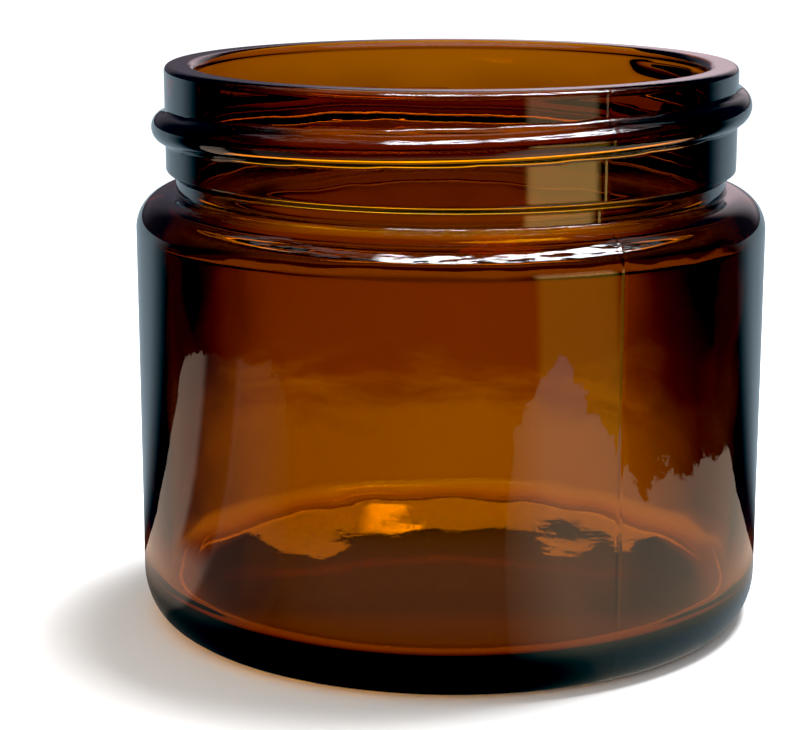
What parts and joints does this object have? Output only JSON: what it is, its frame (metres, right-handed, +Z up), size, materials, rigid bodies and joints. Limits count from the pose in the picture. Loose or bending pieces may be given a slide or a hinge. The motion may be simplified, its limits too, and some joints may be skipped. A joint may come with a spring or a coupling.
{
  "type": "screw-cap jar",
  "caption": "Straight-sided amber glass cream jar with a wide threaded neck, a fluted screw cap and a soft liner.",
  "frame": {"origin": "on the jar's axis, in the plane of its bearing ring under the base", "axes": "+Z up along the jar's axis, out of its mouth; +X to the right and -Y towards the viewer of the thread's front"},
  "size_m": [0.056, 0.056, 0.0895],
  "materials": {
    "amber_glass": "polished amber, tinted through its thickness",
    "liner_foam": "white polyethylene foam",
    "cap_plastic": "black polypropylene, semi-gloss"
  },
  "bodies": {
    "jar": {"glass_jar": "amber_glass"},
    "liner": {"cap_liner": "liner_foam"},
    "cap": {"screw_cap": "cap_plastic"}
  },
  "joints": [
    {"name": "cap_rise", "type": "slide", "parent": "jar", "child": "liner", "axis": [0, 0, 1], "range_m": [-0.0381, 0]},
    {"name": "cap_turn", "type": "hinge", "parent": "liner", "child": "cap", "pos_m": [0, 0, 0.08], "axis": [0, 0, 1], "range_deg": [-3240, 0]}
  ],
  "couplings": [
    {"joint": "cap_rise", "follows": "cap_turn", "m_per_rad": 0.00067376}
  ]
}
